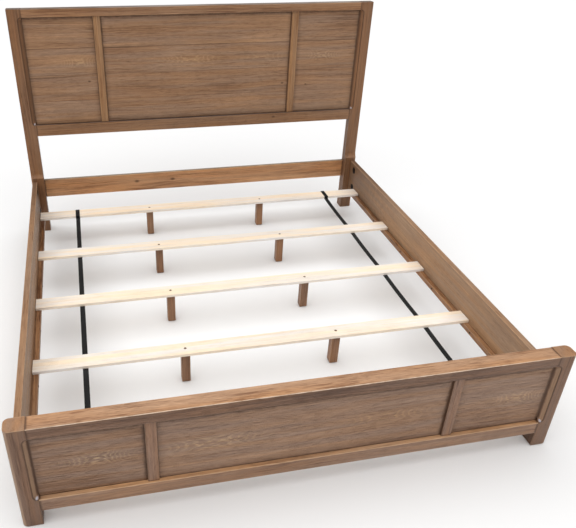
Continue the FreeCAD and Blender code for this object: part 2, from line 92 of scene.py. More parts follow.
# A distance that puts a feature off the board, and a width that leaves an edge out of a band.
FAR = 50.0
NO_WIDTH = 1e-6
NO_WIDTHS = (NO_WIDTH,) * 3


# ---------------------------------------------------------------- shader expressions
def feed(tree, socket, value):
    """Links a wire into a socket, or sets the socket's own value."""
    if isinstance(value, Wire):
        tree.links.new(value.socket, socket)
    elif hasattr(value, "__len__") and len(value) == 3 and len(socket.default_value) == 4:
        socket.default_value = (*value, 1)
    else:
        socket.default_value = value


class Wire:
    """A socket of a shader tree that takes part in arithmetic."""

    def __init__(self, tree, socket):
        self.tree = tree
        self.socket = socket

    def math(self, operation, *others, clamp=False):
        node = self.tree.nodes.new("ShaderNodeMath")
        node.operation = operation
        node.use_clamp = clamp
        for slot, value in zip(node.inputs, (self, *others)):
            feed(self.tree, slot, value)
        return Wire(self.tree, node.outputs[0])

    def __add__(self, other):
        return self.math("ADD", other)

    def __sub__(self, other):
        return self.math("SUBTRACT", other)

    def __rsub__(self, other):
        return self.math("MULTIPLY_ADD", -1.0, other)

    def __mul__(self, other):
        return self.math("MULTIPLY", other)

    def __truediv__(self, other):
        return self.math("DIVIDE", other)

    __radd__ = __add__
    __rmul__ = __mul__

    def ramp(self, low, high, out_low=0.0, out_high=1.0):
        """A smooth step from out_low at low to out_high at high."""
        node = self.tree.nodes.new("ShaderNodeMapRange")
        node.interpolation_type = "SMOOTHSTEP"
        for slot, value in zip(node.inputs, (self, low, high, out_low, out_high)):
            feed(self.tree, slot, value)
        return Wire(self.tree, node.outputs[0])

    def bell(self, width):
        """A bump of height 1 where the wire is 0, falling away over width."""
        scaled = self / width
        return (scaled * scaled * -1.0).math("EXPONENT")

    def split(self):
        node = self.tree.nodes.new("ShaderNodeSeparateXYZ")
        feed(self.tree, node.inputs[0], self)
        return [Wire(self.tree, s) for s in node.outputs]

    def vector(self, operation, *others):
        node = self.tree.nodes.new("ShaderNodeVectorMath")
        node.operation = operation
        for slot, value in zip(node.inputs, (self, *others)):
            feed(self.tree, slot, value)
        return Wire(self.tree, node.outputs[0])


def join(tree, x, y, z):
    node = tree.nodes.new("ShaderNodeCombineXYZ")
    for slot, value in zip(node.inputs, (x, y, z)):
        feed(tree, slot, value)
    return Wire(tree, node.outputs[0])


def noise(x, y, z, detail=2.0, roughness=0.5):
    """Fractal noise about zero, with a typical size near 0.1."""
    tree = x.tree
    node = tree.nodes.new("ShaderNodeTexNoise")
    feed(tree, node.inputs["Vector"], join(tree, x, y, z))
    node.inputs["Scale"].default_value = 1.0
    node.inputs["Detail"].default_value = detail
    node.inputs["Roughness"].default_value = roughness
    return Wire(tree, node.outputs[0]) - 0.5


def scatter(key):
    """One random number in 0..1 for each value of key."""
    node = key.tree.nodes.new("ShaderNodeTexWhiteNoise")
    node.noise_dimensions = "1D"
    feed(key.tree, node.inputs["W"], key)
    return Wire(key.tree, node.outputs[0])


def blend(factor, first, second):
    """Mixes two colours."""
    tree = factor.tree
    node = tree.nodes.new("ShaderNodeMix")
    node.data_type = "RGBA"
    feed(tree, node.inputs[0], factor)
    feed(tree, node.inputs[6], first)
    feed(tree, node.inputs[7], second)
    return Wire(tree, node.outputs[2])


class Group:
    """A node group with named inputs and outputs."""

    KINDS = {"f": "NodeSocketFloat", "v": "NodeSocketVector", "c": "NodeSocketColor"}

    def __init__(self, name, inputs, outputs):
        self.tree = bpy.data.node_groups.new(name, "ShaderNodeTree")
        for way, table in (("INPUT", inputs), ("OUTPUT", outputs)):
            for kind, names in table.items():
                for label in names:
                    self.tree.interface.new_socket(label, in_out=way, socket_type=self.KINDS[kind])
        self.source = self.tree.nodes.new("NodeGroupInput")
        self.target = self.tree.nodes.new("NodeGroupOutput")

    def __getitem__(self, label):
        return Wire(self.tree, self.source.outputs[label])

    def __setitem__(self, label, wire):
        self.tree.links.new(wire.socket, self.target.inputs[label])


def use(tree, group, **values):
    """Places a group in a tree. Underscores in the keywords stand for spaces."""
    node = tree.nodes.new("ShaderNodeGroup")
    node.node_tree = group.tree
    for label, value in values.items():
        feed(tree, node.inputs[label.replace("_", " ")], value)
    return {s.name: Wire(tree, s) for s in node.outputs}


def edge_bands():
    """How near a point on a box's face is to the box's edges: 1 at an edge, 0 past the width."""
    g = Group(
        "edge_bands",
        {"v": ["Position", "Low", "High", "Low Width", "High Width"], "f": ["Ragged"]},
        {"f": ["Band"]},
    )
    near_low = g["Position"].vector("SUBTRACT", g["Low"]).vector("DIVIDE", g["Low Width"])
    near_high = g["High"].vector("SUBTRACT", g["Position"]).vector("DIVIDE", g["High Width"])
    a, b, c = near_low.vector("MINIMUM", near_high).vector("MAXIMUM", (0.0, 0.0, 0.0)).split()
    low = a.math("MINIMUM", b)
    high = a.math("MAXIMUM", b)
    middle = low.math("MAXIMUM", high.math("MINIMUM", c))
    g["Band"] = (middle / g["Ragged"]).ramp(0.0, 1.0, 1.0, 0.0)
    return g


# Layers of the grain: how many times each changes in a metre along, through and across the board,
# then its detail and roughness.
GRAIN_LAYERS = {
    "band": (1.1, 9.0, 42.0, 3.0, 0.55),
    "line": (2.6, 36.0, 115.0, 2.0, 0.6),
    "streak": (5.0, 70.0, 230.0, 3.0, 0.6),
    "hair": (7.0, 120.0, 430.0, 2.0, 0.5),
    "fibre": (16.0, 300.0, 850.0, 2.0, 0.5),
    "pore": (24.0, 600.0, 1500.0, 1.0, 0.5),
    "hue": (1.7, 12.0, 34.0, 2.0, 0.5),
}
# How much each layer lightens the wood, or darkens it below zero.
TONE_WEIGHTS = {
    "band": 0.80, "line": 0.65, "streak": 1.00, "fibre": 0.55, "cloud": 0.60,
    "plank": 0.16, "late": -0.16, "pore": -0.18, "hair": -0.30,
}
MEAN_LATE = 0.28
FIGURE_WIDTH = 0.029
SEAM_WIDTH = 0.0024
GROOVE_WIDTH = 0.0018


def wood_grain():
    """Sawn wood: growth rings, fibres, pores, glued planks, two knots, glaze lines, worn edges, painted
    light and shade.

    Along runs with the grain, and U and V across it. Every length is in metres.
    """
    g = Group(
        "wood_grain",
        {
            "f": [
                "Along", "U", "V", "Seed", "Shade", "Up", "Pith U", "Pith V", "Ring", "Figure",
                "Figure Along", "Figure Length", "Second Figure", "Contrast", "Plank Top", "Plank Height",
                "Knot Along", "Second Knot", "Knot V", "Knot Size", "Glaze", "Wear",
            ],
            "c": ["Dark", "Mid", "Light", "Top Tint"],
        },
        {"c": ["Colour"], "f": ["Roughness", "Height"]},
    )
    along, u, v = g["Along"], g["U"], g["V"]
    step = (g["Plank Top"] - v) / g["Plank Height"]
    plank = step.math("FLOOR").math("MAXIMUM", -1.0)
    nearest = step.math("ROUND").math("MAXIMUM", 0.0)
    joint = (step - nearest).math("ABSOLUTE") * g["Plank Height"]
    # Each plank is cut from another part of the tree.
    key = plank * 5.37 + g["Seed"]
    a = along + key * 2.3
    b = u + key * 0.71

    to_knot = (along - g["Knot Along"]).math("ABSOLUTE")
    to_second = (along - g["Second Knot"]).math("ABSOLUTE")
    reach_a = to_knot.math("MINIMUM", to_second) / (g["Knot Size"] * 1.7)
    reach_v = (v - g["Knot V"]) / g["Knot Size"]
    knot_distance = (reach_a * reach_a + reach_v * reach_v).math("SQRT")
    knot_push = knot_distance.bell(2.2) * g["Knot Size"] * reach_v * -0.55
    drift = noise(a * 1.3, b * 3.0, v * 4.0, 1.0)
    across = v + drift * 0.022 + knot_push

    # Rings round the pith, which come to the face where the board's figure lies.
    first = (along - g["Figure Along"]).bell(g["Figure Length"])
    second = (along - g["Second Figure"]).bell(g["Figure Length"])
    swell = noise(a * 2.4, key, b * 2.0, 1.0)
    ragged = noise(a * 22.0, b * 60.0, across * 130.0, 2.0, 0.6)
    hill = (first + second) * g["Figure"] * 0.045
    depth = u - g["Pith U"] + swell * 0.04 + hill
    offset = across - g["Pith V"]
    patch = first.math("MAXIMUM", second * 0.6) * offset.bell(FIGURE_WIDTH) * g["Figure"]
    radius = (depth * depth + offset * offset).math("SQRT") + ragged * (patch * 0.014 + 0.0004)
    ring = (radius / g["Ring"]).math("FRACT")
    flame = ring.ramp(0.5, 0.9) * patch

    layer = {
        name: noise(a * with_grain, b * through, across * over, detail, roughness)
        for name, (with_grain, through, over, detail, roughness) in GRAIN_LAYERS.items()
    }
    layer["hair"] = layer["hair"].ramp(0.08, 0.2)
    layer["pore"] = layer["pore"].ramp(0.07, 0.16)
    layer["cloud"] = noise(along * 3.0 + key, u * 3.0, v * 5.0, 2.0)
    layer["plank"] = scatter(key) - 0.5
    layer["late"] = ring.math("POWER", 2.5) - MEAN_LATE

    tone = sum(layer[name] * weight for name, weight in TONE_WEIGHTS.items())
    tone = tone * g["Contrast"] + 0.5
    colour = blend(tone.ramp(0.0, 0.5), g["Dark"], g["Mid"])
    colour = blend(tone.ramp(0.5, 1.0), colour, g["Light"])
    colour = blend(flame * 0.72, colour, FIGURE_TINT)
    colour = colour.vector("MULTIPLY", blend(layer["hue"].ramp(-0.16, 0.16), COOL, WARM))
    # Painted light and shade on faces that look up: Up picks them out and Top Tint scales them.
    colour = colour.vector("MULTIPLY", blend(g["Up"], WHITE, g["Top Tint"]))
    # Painted shade, in the dark glaze colour.
    colour = blend(g["Shade"] * 0.3, colour, GLAZE)
    seam = joint.ramp(0.0, SEAM_WIDTH, 0.66, 0.0) * nearest.ramp(0.0, 1.0, 1.0, 0.45)
    knot = knot_distance.ramp(0.2, 1.5, 0.80, 0.0)
    # The glaze also paints shadow here, and the pale worn edges also paint highlights.
    dark = seam.math("MAXIMUM", knot).math("MAXIMUM", g["Glaze"] * 0.88, clamp=True)
    colour = blend(g["Wear"] * (1.0 - dark), colour, WORN)
    g["Colour"] = blend(dark, colour, GLAZE)

    streak, pore = layer["streak"], layer["pore"]
    groove = joint.ramp(0.0, GROOVE_WIDTH, 1.0, 0.0)
    g["Roughness"] = 0.47 + streak * 0.5 + pore * 0.2 + layer["cloud"] * 0.15 + dark * 0.1
    g["Height"] = streak * 0.5 + layer["fibre"] * 0.6 - pore * 0.7 - layer["late"] * 0.22 - groove
    return g


# Where the painted highlight spot in a bevel's lower end lies beside its edge and below its straight
# part, as shares of its reach.
SPOT_SIDE = 0.35
SPOT_DROP = 0.62


def capsule_line():
    """Thin bands along the outline and the foot of a stopped bevel, and a painted highlight spot in its
    lower end.
    """
    g = Group(
        "capsule_line",
        {"v": ["Position"], "f": ["Edge X", "Low Z", "High Z", "Front Y", "Reach", "Width"]},
        {"f": ["Line", "Foot", "Spot"]},
    )
    x, y, z = g["Position"].split()
    beyond = (g["Low Z"] - z).math("MAXIMUM", z - g["High Z"]).math("MAXIMUM", 0.0)
    side = (x - g["Edge X"]).math("ABSOLUTE")
    depth = (y - g["Front Y"]).math("MAXIMUM", 0.0)
    out = (side * side + beyond * beyond).math("SQRT")
    rim = ((out - g["Reach"]).math("ABSOLUTE") / g["Width"]).ramp(0.3, 1.0, 1.0, 0.0)
    foot = ((depth - g["Reach"]).math("ABSOLUTE") / g["Width"]).ramp(0.6, 2.4, 1.0, 0.0)
    foot = foot * (out / g["Reach"]).ramp(1.0, 1.05, 1.0, 0.0)
    on_front = (depth / g["Width"]).ramp(1.0, 2.5, 1.0, 0.0)
    spot_side = side / g["Reach"] - SPOT_SIDE
    spot_drop = (g["Low Z"] - z) / g["Reach"] - SPOT_DROP
    g["Line"] = rim * on_front
    g["Foot"] = foot
    from_spot = (spot_side * spot_side + spot_drop * spot_drop).math("SQRT")
    g["Spot"] = from_spot.ramp(0.12, 0.36, 1.0, 0.0)
    return g


EDGES = edge_bands()
WOOD = wood_grain()
BEVEL_LINE = capsule_line()


# ---------------------------------------------------------------- materials
def blank_material(name):
    material = bpy.data.materials.new(name)
    material.use_nodes = True
    tree = material.node_tree
    tree.nodes.clear()
    shader = tree.nodes.new("ShaderNodeBsdfPrincipled")
    output = tree.nodes.new("ShaderNodeOutputMaterial")
    tree.links.new(shader.outputs[0], output.inputs[0])
    position = Wire(tree, tree.nodes.new("ShaderNodeTexCoord").outputs["Object"])
    return material, tree, shader, position


def bumped(tree, shader, height, distance):
    bump = tree.nodes.new("ShaderNodeBump")
    bump.inputs["Strength"].default_value = 1.0
    bump.inputs["Distance"].default_value = distance
    feed(tree, bump.inputs["Height"], height)
    tree.links.new(bump.outputs[0], shader.inputs["Normal"])


# How much of its red, green and blue a finish loses in its dark parts and gains in its light parts.
DARKER = (0.46, 0.54, 0.60)
LIGHTER = (0.34, 0.40, 0.44)
LIGHTEST = 0.95


def shades(middle, spread=1.0):
    """The dark, middle and light colours of a finish; the dark parts are redder."""
    dark = tuple(c * (1 - spread * k) for c, k in zip(middle, DARKER))
    light = tuple(min(LIGHTEST, c * (1 + spread * k)) for c, k in zip(middle, LIGHTER))
    return dark, tuple(middle), light


# For each direction of the grain, the axes along it, through the board and across its face.
GRAIN_AXES = {"X": (0, 1, 2), "Y": (1, 0, 2), "Z": (2, 1, 0), "FLAT": (0, 2, 1)}
NO_KNOT = (FAR, FAR, FAR, 3 * MM)
WEAR_WIDTHS = (2.0 * MM,) * 3
COARSE_RING = 8.5 * MM
# How far the pith lies behind the board, how much further it may lie, and how far to one side.
PITH_DEPTH = 0.05
PITH_EXTRA = 0.04
PITH_ASIDE = 0.12
# How often the raggedness of the bands changes in a metre, and the band along a bevel.
RAGGED_RATE = 35.0
BEVEL_LINE_WIDTH = 2.2 * MM
BEVEL_LINE_RAGGED = 1.2 * MM
INNER_REACH = 1.0 * MM
INNER_FADE = 4.0 * MM


def seed_of(name):
    """A steady number from a name."""
    return sum((i + 3) * ord(c) for i, c in enumerate(name)) % 97 / 7.0


def board_bands(tree, position, low, high, ragged):
    """A function that gives how near a point is to the board's edges, for widths at its two ends."""
    def band(low_widths, high_widths):
        return use(
            tree, EDGES, Position=position, Low=tuple(low), High=tuple(high),
            Low_Width=low_widths, High_Width=high_widths, Ragged=ragged,
        )["Band"]
    return band


def wood_material(name, grain, colours, low, high, **options):
    """A wood finish, with painted light and shade, for one board whose visible part fills the box from
    low to high.
    """
    material, tree, shader, position = blank_material(name)
    axes = position.split()
    normals = Wire(tree, tree.nodes.new("ShaderNodeTexCoord").outputs["Normal"]).split()
    along, u, v = (axes[i] for i in GRAIN_AXES[grain])
    u_axis, v_axis = GRAIN_AXES[grain][1:]
    seed = seed_of(name)
    spread = math.sin(seed * 12.9) * 0.5
    pith_u = options.get("pith_u", low[u_axis] - PITH_DEPTH - PITH_EXTRA * abs(spread))
    pith_v = options.get("pith_v", (low[v_axis] + high[v_axis]) / 2 + spread * PITH_ASIDE)
    x, y, z = (axis * RAGGED_RATE for axis in axes)
    rough = noise(x + seed, y, z, 3.0, 0.65)
    ragged = (rough * 1.6 + 1.0).math("MAXIMUM", 0.5)
    band = board_bands(tree, position, low, high, ragged)
    # Dark glaze along the box's edges, which also paints shadow in recesses, beside stiles and under
    # rails.
    glaze = band(options.get("glaze_low", NO_WIDTHS), options.get("glaze_high", NO_WIDTHS))
    # Paler worn edges, which also paint the highlight where an edge catches the light.
    wear = band(options.get("wear_low", WEAR_WIDTHS), options.get("wear_high", WEAR_WIDTHS))
    wear = wear * options.get("wear", 0.45)
    # Painted shade in wide bands from the box's edges.
    shade_width = options.get("shade", NO_WIDTHS)
    shade = band(options.get("shade_low", shade_width), shade_width) * options.get("shade_strength", 1.0)
    bevel = options.get("bevel")
    if bevel:
        routed = use(
            tree, BEVEL_LINE, Position=position, Edge_X=bevel["edge"], Low_Z=bevel["low"],
            High_Z=bevel["high"], Front_Y=bevel["front"], Reach=bevel["reach"],
            Width=ragged * BEVEL_LINE_RAGGED + BEVEL_LINE_WIDTH,
        )
        line = (routed["Line"] * 0.9).math("MAXIMUM", routed["Foot"] * bevel["foot_line"])
        glaze = glaze.math("MAXIMUM", line)
        # Painted light and painted shade on the bevel's slope, picked out by which way it faces.
        slanted = normals[0].math("ABSOLUTE").math("MINIMUM", normals[1].math("ABSOLUTE")).ramp(0.25, 0.6)
        wear = wear.math("MAXIMUM", slanted * bevel["wear"])
        shade = shade.math("MAXIMUM", slanted * bevel["shade"])
    # Painted light and shade on faces that look up, above top_from where that is given.
    facing_up = normals[2].ramp(0.6, 0.95)
    if "top_from" in options:
        facing_up = facing_up * axes[2].math("GREATER_THAN", options["top_from"])
    # Painted shade on the face at inner_x, below inner_z.
    if "inner_x" in options:
        inner_z = options["inner_z"]
        inner = (axes[0] - options["inner_x"]).math("ABSOLUTE").ramp(0.0, INNER_REACH, 1.0, 0.0)
        below = axes[2].ramp(inner_z - INNER_FADE, inner_z + INNER_FADE, 1.0, 0.0)
        shade = shade.math("MAXIMUM", inner * below * options["inner_shade"])
    dark, mid, light = colours
    knot = options.get("knot", NO_KNOT)
    wood = use(
        tree, WOOD, Along=along, U=u, V=v, Seed=seed, Pith_U=pith_u, Pith_V=pith_v,
        Ring=options.get("ring", COARSE_RING), Figure=options.get("figure", 0.0),
        Figure_Along=options.get("figure_along", 0.0),
        Figure_Length=options.get("figure_length", 0.2),
        Second_Figure=options.get("second_figure", FAR),
        Contrast=options.get("contrast", 1.0),
        Plank_Top=options.get("plank_top", FAR), Plank_Height=options.get("plank_height", 2 * FAR),
        Knot_Along=knot[0], Second_Knot=knot[1], Knot_V=knot[2], Knot_Size=knot[3],
        Glaze=glaze, Shade=shade, Up=facing_up, Wear=wear, Dark=dark, Mid=mid, Light=light,
        Top_Tint=options.get("top", WHITE),
    )
    colour = wood["Colour"]
    # A painted highlight spot in the lower end of the bevel.
    if bevel:
        colour = blend(routed["Spot"] * bevel["spot"], colour, PALE)
    # A painted glint of light along the worn edges.
    if "glint" in options:
        colour = blend(wear.ramp(0.3, 0.8) * options["glint"], colour, GLINT)
    feed(tree, shader.inputs["Base Color"], colour)
    feed(tree, shader.inputs["Roughness"], wood["Roughness"])
    bumped(tree, shader, wood["Height"], options.get("bump", 0.7 * MM))
    shader.inputs["Specular IOR Level"].default_value = options.get("specular", 0.35)
    shader.inputs["Coat Weight"].default_value = options.get("coat", 0.12)
    shader.inputs["Coat Roughness"].default_value = 0.35
    return material


def metal_material(name, colours, roughness):
    """Plated or blackened steel with fine scratches, a little tarnish and handling marks."""
    material, tree, shader, position = blank_material(name)
    x, y, z = (axis / MM for axis in position.split())
    cloud = noise(x * 0.35, y * 0.35, z * 0.35, 4.0, 0.6)
    scratch = noise(x * 1.1, y * 6.0, z * 6.0, 3.0, 0.7)
    spot = noise(x * 2.0, y * 2.0, z * 2.0, 2.0).ramp(0.12, 0.2)
    tarnish = (cloud * 2.2 + spot * 0.4 + 0.35).math("MULTIPLY", 1.0, clamp=True)
    feed(tree, shader.inputs["Base Color"], blend(tarnish, *colours))
    feed(tree, shader.inputs["Roughness"], roughness + cloud * 0.4 + scratch * 0.3)
    shader.inputs["Metallic"].default_value = 1.0
    bumped(tree, shader, scratch * 0.6 + cloud * 0.4, 0.08 * MM)
    return material


def plastic_material(name):
    """Moulded black plastic with a fine spark texture and a little dust."""
    material, tree, shader, position = blank_material(name)
    x, y, z = (axis / MM for axis in position.split())
    texture = noise(x * 1.6, y * 1.6, z * 1.6, 3.0, 0.6)
    dust = noise(x * 0.12, y * 0.12, z * 0.12, 4.0, 0.6).ramp(-0.05, 0.25)
    feed(tree, shader.inputs["Base Color"], blend(dust * 0.2, *BLACK_PLASTIC))
    feed(tree, shader.inputs["Roughness"], 0.42 + texture * 0.3 + dust * 0.2)
    shader.inputs["Specular IOR Level"].default_value = 0.12
    bumped(tree, shader, texture, 0.12 * MM)
    return material


def webbing_material(name):
    """Woven webbing: a chevron of yarns with loose fibres and faded patches."""
    material, tree, shader, position = blank_material(name)
    x, y, z = position.split()
    yarn = (x * 2200.0 + z * 2200.0).math("SINE")
    lean = (x * 310.0).math("PINGPONG", 1.0)
    pick = (y * 1900.0 + z * 1900.0 + lean * 6.0).math("SINE")
    weave = (yarn * 0.5 + 0.5) * (pick * 0.5 + 0.5)
    fuzz = noise(x * 900.0, y * 120.0, z * 900.0, 3.0, 0.7)
    fade = noise(x * 25.0, y * 7.0, z * 25.0, 3.0, 0.6)
    tone = (weave * 0.55 + fuzz * 1.3 + fade * 1.4 + 0.12).math("MULTIPLY", 1.0, clamp=True)
    feed(tree, shader.inputs["Base Color"], blend(tone, *BLACK_WEBBING))
    feed(tree, shader.inputs["Roughness"], 0.7 + fuzz * 0.5 - weave * 0.1)
    shader.inputs["Specular IOR Level"].default_value = 0.2
    shader.inputs["Sheen Weight"].default_value = 0.03
    shader.inputs["Sheen Roughness"].default_value = 0.5
    bumped(tree, shader, weave + fuzz * 0.6, 0.5 * MM)
    return material


# ---------------------------------------------------------------- visible extents
def clip(name, **limits):
    """The node's box cut to what shows: x, y or z = (lowest, highest)."""
    low, high = (list(c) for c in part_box(name))
    for axis, (least, most) in limits.items():
        i = "xyz".index(axis)
        low[i] = max(low[i], least)
        high[i] = min(high[i], most)
    return low, high


def bay_of(end, lowest_rail):
    """The opening between the posts and the rails of one end of the bed."""
    return {
        "x": (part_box(f"{end}_post_left")[1].x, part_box(f"{end}_post_right")[0].x),
        "z": (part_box(f"{end}_{lowest_rail}")[1].z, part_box(f"{end}_top_rail")[0].z),
        "front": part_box(f"{end}_top_rail")[0].y,
        "panel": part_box(f"{end}_panel_centre")[0].y,
    }


BAYS = {
    "headboard": bay_of("headboard", "lower_rail"),
    "footboard": bay_of("footboard", "bottom_rail"),
}
RAIL_Y = (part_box("footboard_post_left")[1].y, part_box("headboard_post_left")[1].y)


def paint(name, material):
    """Gives a CAD node one material."""
    mesh = NODES[name].data
    mesh.materials.clear()
    mesh.materials.append(material)


# ---------------------------------------------------------------- boards of the two ends
# The finish and painted light of each end: colours, painted light and shade on the post tops, the rails,
# contrast of the posts and painted shade on the inner faces, wear and painted highlight of the rails,
# width of the glaze where rails meet posts, height of the panels' figures, glaze and painted shadow along
# a panel's foot, how far its upper band of glaze and painted shadow is lowered, and the planks it is
# glued from.
ENDS = {
    "headboard": {
        "post": HEAD_POST, "stile": HEAD_STILE, "panel": HEAD_PANEL, "post_top": HEAD_TOP,
        "rails": ("top_rail", "lower_rail", "stretcher"), "lowest_rail": "lower_rail",
        "post_contrast": 0.95, "post_inner_shade": 1.5, "stile_inner_shade": 0.8,
        "rail_wear": 0.10, "joint": 9.0 * MM, "figure_height": 0.982, "panel_foot": 5.0 * MM,
        "panel_drop": 0.0, "planks": {"plank_top": 1.058, "plank_height": 0.141},
    },
    "footboard": {
        "post": FOOT_POST, "stile": FOOT_STILE, "panel": FOOT_PANEL, "post_top": FOOT_TOP,
        "rails": ("top_rail", "bottom_rail"), "lowest_rail": "bottom_rail",
        "post_contrast": 0.75, "post_inner_shade": 1.9, "stile_inner_shade": 2.4,
        "rail_wear": 0.85, "joint": 10.0 * MM, "figure_height": 0.258, "panel_foot": 4.5 * MM,
        "panel_drop": 11.5 * MM, "planks": {},
    },
}
# The glaze and painted shadow at the foot of each post's stopped bevel, and on its slope the painted
# light, the painted shade and a pale painted highlight spot.
BEVELS = {
    "headboard_post_left": {"foot_line": 0.35, "wear": 0.0, "shade": 0.6, "spot": 0.6},
    "headboard_post_right": {"foot_line": 0.8, "wear": 0.0, "shade": 0.0, "spot": 0.6},
    "footboard_post_left": {"foot_line": 1.0, "wear": 0.30, "shade": 0.0, "spot": 0.8},
    "footboard_post_right": {"foot_line": 1.0, "wear": 0.30, "shade": 0.0, "spot": 0.8},
}
# Widths of the dark glaze and painted shadow down the left and right edges of the stiles and the panels,
# in millimetres.
STILE_LINES = {
    "headboard_stile_left": (1.5, 5.0),
    "headboard_stile_right": (5.0, 1.5),
    "footboard_stile_left": (6.0, 2.5),
    "footboard_stile_right": (6.0, 2.5),
}
PANEL_LINES = {
    "headboard_panel_left": (9.0, 4.0),
    "headboard_panel_centre": (9.0, 11.0),
    "headboard_panel_right": (4.0, 11.0),
    "footboard_panel_left": (6.0, 15.0),
    "footboard_panel_centre": (4.0, 15.0),
    "footboard_panel_right": (4.0, 13.0),
}
# Each rail's colour, the painted light and shade on its faces that look up, and the painted glint on its
# edges.
# A knot is its place along the board, a second place or FAR, its height and its size.
RAILS = {
    "headboard_top_rail": {"colour": HEAD_RAIL, "top": HEAD_TOP},
    "headboard_lower_rail": {
        "colour": HEAD_LOW_RAIL, "top": HEAD_LEDGE, "knot": (0.446, FAR, 0.630, 6.0 * MM),
    },
    "headboard_stretcher": {
        "colour": STRETCHER, "top": STRETCHER_TOP, "knot": (-0.389, -0.171, 0.264, 8.5 * MM),
    },
    "footboard_top_rail": {"colour": FOOT_TOP_RAIL, "top": FOOT_RAIL_TOP, "glint": 0.6},
    "footboard_bottom_rail": {"colour": FOOT_LOW_RAIL, "top": FOOT_LEDGE},
}
PANEL_FIGURES = {
    "headboard_panel_left": {"figure_along": -0.655, "knot": (-0.615, FAR, 0.878, 5.0 * MM)},
    "headboard_panel_centre": {
        "figure_along": -0.045, "second_figure": 0.38, "knot": (0.494, FAR, 0.824, 5.0 * MM),
    },
    "headboard_panel_right": {"figure_along": 0.735, "knot": (0.638, FAR, 0.811, 4.0 * MM)},
    "footboard_panel_left": {"figure_along": -0.725},
    "footboard_panel_centre": {"figure_along": -0.335, "second_figure": 0.30},
    "footboard_panel_right": {"figure_along": 0.815},
}
FINE_RING = 6.0 * MM
PANEL_RING = 5.8 * MM
PANEL_PITH = 35.0 * MM
FIGURE_LENGTH = {"left": 0.10, "centre": 0.16, "right": 0.10}
POST_WEAR = 4.0 * MM
STILE_GLAZE = 3.0 * MM
# Widths of the wear and painted highlight along the rails' edges.
RAIL_EDGE_WEAR = (NO_WIDTH, 4.5 * MM, 2.5 * MM), (NO_WIDTH, 3.5 * MM, 3.5 * MM)
INNER_GLAZE = (3.5 * MM, NO_WIDTH, NO_WIDTH)
# Painted shade: the head posts darken towards the floor, and the panels darken inside their edges.
HEAD_POST_SHADE = (NO_WIDTH, NO_WIDTH, 0.6)
PANEL_SHADE = (30.0 * MM, NO_WIDTH, 24.0 * MM)
# Width of the glaze and painted shadow under each panel's top rail.
PANEL_HEAD = 15.0 * MM


def paint_post(end, side):
    name = f"{end}_post_{side}"
    look, bay = ENDS[end], BAYS[end]
    reach = bay["panel"] - bay["front"]
    edge = bay["x"][0] if side == "left" else bay["x"][1]
    bevel = {
        "edge": edge, "low": bay["z"][0] + reach, "high": bay["z"][1] - reach,
        "front": bay["front"], "reach": reach, **BEVELS[name],
    }
    # Painted shade on the inner face below the lowest rail, and painted light and shade on the post's
    # top.
    options = {
        "top": look["post_top"], "inner_x": edge, "inner_shade": look["post_inner_shade"],
        "inner_z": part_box(f"{end}_{look['lowest_rail']}")[0].z,
    }
    if end == "footboard":
        options["glaze_high" if side == "left" else "glaze_low"] = INNER_GLAZE
    else:
        # Head posts: painted shade that darkens towards the floor, and painted light only above the bay.
        options.update(top_from=bay["z"][1], shade_low=HEAD_POST_SHADE, shade_strength=1.3)
    # The edge along the panels isn't worn and gets no painted highlight.
    left_wear, right_wear = (POST_WEAR, NO_WIDTH) if side == "left" else (NO_WIDTH, POST_WEAR)
    paint(name, wood_material(
        name, "Z", shades(look["post"]), *clip(name), bevel=bevel, contrast=look["post_contrast"],
        ring=FINE_RING, wear=0.4, wear_low=(left_wear, POST_WEAR, POST_WEAR),
        wear_high=(right_wear, POST_WEAR, POST_WEAR), **options,
    ))


def paint_stile(end, side):
    name = f"{end}_stile_{side}"
    low, high = clip(name, z=BAYS[end]["z"])
    left_line, right_line = (width * MM for width in STILE_LINES[name])
    # Dark glaze and painted shadow down the stile's edges, and painted shade on its left face.
    paint(name, wood_material(
        name, "Z", shades(ENDS[end]["stile"]), low, high, contrast=1.0, ring=FINE_RING, wear=0.35,
        glaze_low=(left_line, NO_WIDTH, STILE_GLAZE), glaze_high=(right_line, NO_WIDTH, STILE_GLAZE),
        inner_x=low[0], inner_z=FAR, inner_shade=ENDS[end]["stile_inner_shade"],
    ))


def paint_rail(end, rail):
    name = f"{end}_{rail}"
    options = dict(RAILS[name])
    colours = shades(options.pop("colour"))
    joint = (ENDS[end]["joint"], NO_WIDTH, NO_WIDTH)
    paint(name, wood_material(
        name, "X", colours, *clip(name, x=BAYS[end]["x"]), contrast=1.12, glaze_low=joint,
        glaze_high=joint, wear=ENDS[end]["rail_wear"], wear_low=RAIL_EDGE_WEAR[0],
        wear_high=RAIL_EDGE_WEAR[1], **options,
    ))


def panel_spans(end):
    """Where the three panels show, from left to right."""
    left, right = (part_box(f"{end}_stile_{side}") for side in ("left", "right"))
    return {
        "left": (BAYS[end]["x"][0], left[0].x),
        "centre": (left[1].x, right[0].x),
        "right": (right[1].x, BAYS[end]["x"][1]),
    }


def paint_panel(end, part, span):
    name = f"{end}_panel_{part}"
    look = ENDS[end]
    low, high = clip(name, x=span, z=BAYS[end]["z"])
    # Lowering the top deepens the band of glaze and painted shadow under the top rail.
    high[2] -= look["panel_drop"]
    left_line, right_line = (width * MM for width in PANEL_LINES[name])
    # Glaze and painted shadow round the panel's edges, and wider bands of painted shade inside them.
    paint(name, wood_material(
        name, "X", shades(look["panel"]), low, high,
        glaze_low=(left_line, NO_WIDTH, look["panel_foot"]),
        glaze_high=(right_line, NO_WIDTH, PANEL_HEAD), shade=PANEL_SHADE,
        wear=0.0, pith_u=low[1] - PANEL_PITH, pith_v=look["figure_height"], ring=PANEL_RING,
        figure=1.0, figure_length=FIGURE_LENGTH[part],
        **PANEL_FIGURES[name], **look["planks"],
    ))


